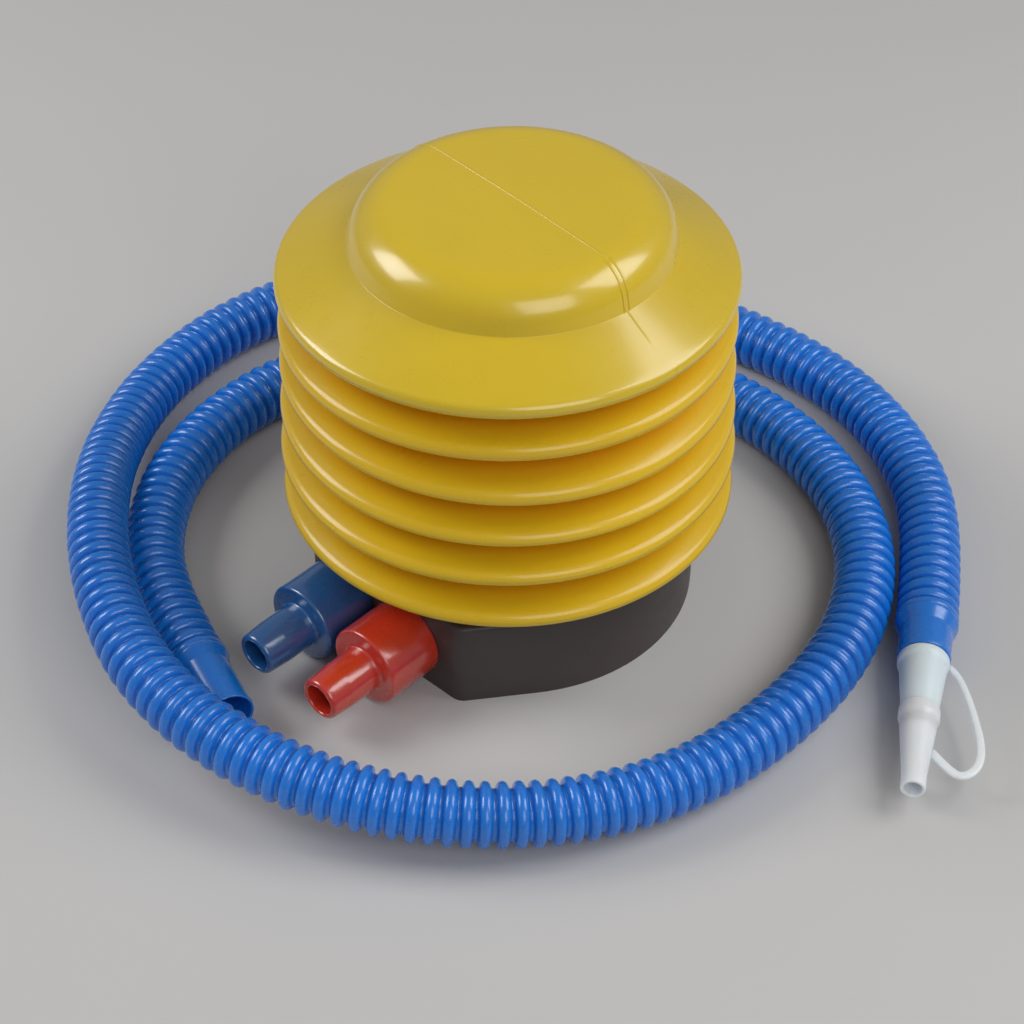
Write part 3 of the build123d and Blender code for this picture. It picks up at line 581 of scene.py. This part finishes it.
def leaned(v):
    """A bellows point moved as its fold leans, fading out at the neck and at the top rim."""
    x, y, z = v / MM
    if z > split_z - LEAN_START:
        return v
    # kept just short of the last rim, so that there is always one below
    level = min(max((TOP_RIM_Z - z) / FOLD_PITCH, 0.0), len(RIM_LEAN) - 1.001)
    low = int(level)
    part = level - low
    lift, front, aside, wide = (
        a + (b - a) * part for a, b in zip(RIM_LEAN[low], RIM_LEAN[low + 1]))
    radius, angle = math.hypot(x, y), math.atan2(y, x) - FRONT_AZIMUTH
    share = min(1.0, (split_z - LEAN_START - z) / LEAN_FADE)
    reach = max(0.0, (radius - VALLEY_RADIUS) / (RIM_RADIUS - VALLEY_RADIUS))
    radius_now = radius + wide * reach * share
    z += (lift + front * math.cos(angle) + aside * math.sin(angle)) * share
    return Vector((x / radius * radius_now, y / radius * radius_now, z)) * MM


fold_corners = [
    (FLANGE_INNER, DECK_TOP + WALL / 2, 0), (NECK_MIDDLE, DECK_TOP + WALL / 2, NECK_ROUND),
    (NECK_MIDDLE, neck_top, VALLEY_ROUND),
]
for fold in range(FOLD_COUNT, 0, -1):
    fold_z = TOP_RIM_Z - fold * FOLD_PITCH
    fold_corners += [(crest_corner, fold_z, CREST_ROUND),
                     (valley_corner, fold_z + FOLD_PITCH / 2, VALLEY_ROUND)]
fold_corners.append((SPLIT_RADIUS, split_z, 0))
fold_line = divided(rounded(fold_corners, steps=9), longest=3.0)
fold_loop = [(p.y, p.x) for p in walled(fold_line, WALL)]
upright = straight((0, 0, 0), (0, 0, 1))
bellows = turned("bellows", fold_loop, upright, BELLOWS_SEGMENTS, fold_plastic, leaned)
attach(bellows, "pump")
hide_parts("bellows_folds")
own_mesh(bellows)

# the corner in which the pad's slope and the flank under it would meet
rim_half = (flank + PAD_SLOPE) / 2
rim_tilt = (PAD_SLOPE - flank) / 2
rim_reach = CREST_ROUND / math.sin(rim_half)
rim_radius = crest_centre + rim_reach * math.cos(rim_tilt)
rim_z = TOP_RIM_Z - rim_reach * math.sin(rim_tilt)
foot_z = rim_z + (rim_radius - DOME_FOOT_RADIUS) * math.tan(PAD_SLOPE)
dome_z = DOME_TOP - WALL / 2
shoulder_radius = DOME_FOOT_RADIUS - (dome_z - foot_z) / math.tan(DOME_WALL)
top_corners = [
    (SPLIT_RADIUS, split_z, 0), (rim_radius, rim_z, CREST_ROUND),
    (DOME_FOOT_RADIUS, foot_z, FOOT_ROUND), (shoulder_radius, dome_z - DOME_CROWN, DOME_SHOULDER),
    (0, dome_z, 0),
]
top_line = divided(rounded(top_corners, steps=14), longest=2.0)
pad_loop = walled(top_line, WALL)
# both faces of the wall end exactly on the axis
for i in (len(top_line) - 1, len(top_line)):
    pad_loop[i].x = 0.0


def settled(v):
    """A foot pad point moved with the dome's offset, which fades out towards the rim."""
    z = v.z / MM
    start = TOP_RIM_Z + SHIFT_START
    if z <= start:
        return v
    if z < foot_z:
        shift = DOME_SHIFT_FOOT * (z - start) / (foot_z - start)
    else:
        up_dome = (z - foot_z) / (DOME_TOP - foot_z)
        shift = DOME_SHIFT_FOOT + (DOME_SHIFT_TOP - DOME_SHIFT_FOOT) * up_dome
    return v + RIGHT * shift * MM


top = turned("foot_pad", [(p.y, p.x) for p in pad_loop], upright, BELLOWS_SEGMENTS, yellow_plastic,
             settled)
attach(top, "foot_pad")
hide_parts("bellows_top")

# the mould's parting line: a fine raised bead over the pad, doubled down the dome's wall
PARTING_AZIMUTH = math.radians(-6.0)
BEAD_HALF_WIDTH = 0.36
BEAD_TURNS = [math.radians(turn) for turn in range(0, 181, 30)]
# a bead's sides start this far inside the wall, and its root lies this deep
BEAD_SINK = 0.04
BEAD_ROOT = 0.3
# a bead rises from almost nothing to its height over this many points at each end
BEAD_FADE = 4
pad_outside = [p for p in walled(top_line, -WALL)[:len(top_line)] if p.y > TOP_RIM_Z + 1.0]


def bead(name, near, far, offset, height, across=0.0):
    """A low rounded ridge on the pad between two radii, running on over the middle to `across`."""
    run = [p for p in pad_outside if near <= p.x <= far]
    run += [Vector((-p.x, p.y)) for p in reversed(pad_outside) if near <= p.x <= across]
    out = Vector((math.cos(PARTING_AZIMUTH), math.sin(PARTING_AZIMUTH), 0))
    aside = Vector((-out.y, out.x, 0))
    last = len(run) - 1
    rings = []
    for i, p in enumerate(run):
        ahead = run[min(i + 1, last)] - run[max(i - 1, 0)]
        normal = Vector((ahead.y, -ahead.x)).normalized()
        normal = normal if normal.y > 0 else -normal
        fade = min(1.0, (i + 0.2) / BEAD_FADE, (last - i + 0.2) / BEAD_FADE)
        ridge = []
        for turn in BEAD_TURNS:
            wide = math.cos(turn) * BEAD_HALF_WIDTH
            high = math.sin(turn) * height * fade - BEAD_SINK
            ridge.append(out * (p.x + normal.x * high) + UP * (p.y + normal.y * high)
                         + aside * (offset + wide))
        ridge.append(out * (p.x - normal.x * BEAD_ROOT) + UP * (p.y - normal.y * BEAD_ROOT)
                     + aside * offset)
        rings.append([settled(v * MM) for v in ridge])
    line = bar(name, rings, yellow_plastic)
    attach(line, "foot_pad")


# radii, then how far to the side of the line, then height
bead("parting_line", 0.5, 36.0, 0.0, 0.22, across=44.0)
bead("parting_wall_left", 32.5, 45.2, 0.85, 0.24)
bead("parting_wall_right", 32.5, 45.2, -0.85, 0.24)
bead("parting_skirt", 44.6, 58.0, 0.0, 0.14)

# ---------------------------------------------------------------- return spring, inside the bellows
SPRING_RADIUS = 34.0
SPRING_WIRE = 1.4
SPRING_TURNS = 6
SEAT_BOTTOM = 128.8
SPRING_STEPS = 48
WIRE_RINGS = 400
WIRE_SEGMENTS = 12
# the wire's cut ends are a little thinner
WIRE_END = SPRING_WIRE * 0.8

spring_rise = SEAT_BOTTOM - DECK_TOP - 2 * SPRING_WIRE
coil = []
for step in range(SPRING_TURNS * SPRING_STEPS + 1):
    angle = 2 * math.pi * step / SPRING_STEPS
    z = DECK_TOP + SPRING_WIRE + spring_rise * step / (SPRING_TURNS * SPRING_STEPS)
    coil.append(Vector((SPRING_RADIUS * math.cos(angle), SPRING_RADIUS * math.sin(angle), z)) * MM)
spring_frame, spring_run = along_path(coil)
spring_loop = [(spring_run * k / WIRE_RINGS, SPRING_WIRE) for k in range(1, WIRE_RINGS)]
spring_loop = [(0.0, 0.0), (0.0, WIRE_END), *spring_loop, (spring_run, WIRE_END), (spring_run, 0.0)]
spring = turned("return_coil", spring_loop, spring_frame, WIRE_SEGMENTS, plated_steel)
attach(spring, "pump")
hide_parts("return_spring")
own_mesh(spring)

# ---------------------------------------------------------------- ports
PORT_HEIGHT = 13.6
BLUE_X = -16.2
RED_X = 9.6
PORT_SEGMENTS = 96
# outline: distance from the z axis, radius, rounding; a neck through the housing's wall, a collar
# with the O-ring's groove in its back, and a tapered spigot
PORT_OUTLINE = [
    (44.0, 4.6, 0.2), (44.0, 7.4, 0.3), (52.0, 7.4, 0.1), (52.0, 8.4, 0.1), (53.3, 8.4, 0.1),
    (53.3, 10.2, 0.1), (52.0, 10.2, 0.1), (52.0, 11.9, 0.3), (69.7, 11.9, 0.9), (69.7, 6.8, 0.9),
    (79.7, 6.8, 3.0), (87.3, 6.3, 1.2), (87.3, 4.6, 0.6),
]
port_loop = rounded(PORT_OUTLINE, steps=7, closed=True)
port_loop = divided(port_loop + port_loop[:1], longest=2.0)[:-1]
for port_name, node, x, material, port_slot in (
        ("port_blue", "inflate_port", BLUE_X, blue_plastic, "blue_port"),
        ("port_red", "deflate_port", RED_X, red_plastic, "red_port")):
    port_frame = straight((x, 0, PORT_HEIGHT), (0, -1, 0))
    port = turned(port_name, port_loop, port_frame, PORT_SEGMENTS, material)
    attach(port, "pump")
    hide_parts(node)

# ---------------------------------------------------------------- carried-over nodes
CARRIED_NODES = (
    (base_plastic, ("base_housing", "air_ducts", "base_plate", "bellows_clamp_ring",
                    "spring_top_seat", "outlet_valve_cage", "inlet_valve_cage")),
    (plated_steel, ("base_screws", "clamp_screws")),
    (black_rubber, ("duct_gasket", "inflate_port_o_ring", "deflate_port_o_ring",
                    "outlet_valve_disc", "inlet_valve_disc")),
)
for material, nodes in CARRIED_NODES:
    for node in nodes:
        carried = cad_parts[node]
        carried.data.materials.clear()
        carried.data.materials.append(material)

# ---------------------------------------------------------------- studio
# sizes, places and distances here are in metres, and power is in watts
FLOOR_HALF = 3.0
FLOOR_STEPS = 12
WORLD_COLOR = (0.96, 0.965, 0.99, 1)
WORLD_STRENGTH = 0.26
LIGHT_AIM = Vector((0, 0, 0.05))

floor_material = moulded(
    "floor_paper", (0.54, 0.53, 0.52), 0.75, drift=0.012, patch=3.0, grain=2200.0, depth=0.02)
row = FLOOR_STEPS + 1
lines = [-FLOOR_HALF + 2 * FLOOR_HALF * i / FLOOR_STEPS for i in range(row)]
grid = [(x, y, 0.0) for x in lines for y in lines]
cells = [[i * row + j, (i + 1) * row + j, (i + 1) * row + j + 1, i * row + j + 1]
         for i in range(FLOOR_STEPS) for j in range(FLOOR_STEPS)]
floor = mesh_object("studio_floor", grid, cells, floor_material)

world = bpy.data.worlds.new("studio")
scene.world = world
world.use_nodes = True
world.node_tree.nodes["Background"].inputs["Color"].default_value = WORLD_COLOR
world.node_tree.nodes["Background"].inputs["Strength"].default_value = WORLD_STRENGTH


def softbox(name, right, near, height, size, power):
    """A square area light aimed at the pump."""
    light = bpy.data.lights.new(name, "AREA")
    light.shape = "SQUARE"
    light.size = size
    light.energy = power
    lamp = bpy.data.objects.new(name, light)
    lamp.location = RIGHT * right + NEAR * near + UP * height
    lamp.rotation_euler = (LIGHT_AIM - lamp.location).to_track_quat("-Z", "Y").to_euler()
    scene.collection.objects.link(lamp)


# place to the right, towards the camera and up, then size and power
softbox("softbox_left", -0.80, -0.12, 0.62, 0.48, 4.3)
softbox("softbox_right", 0.72, 0.0, 0.76, 0.60, 4.6)
softbox("softbox_front", 0.40, 0.92, 0.80, 0.70, 4.2)
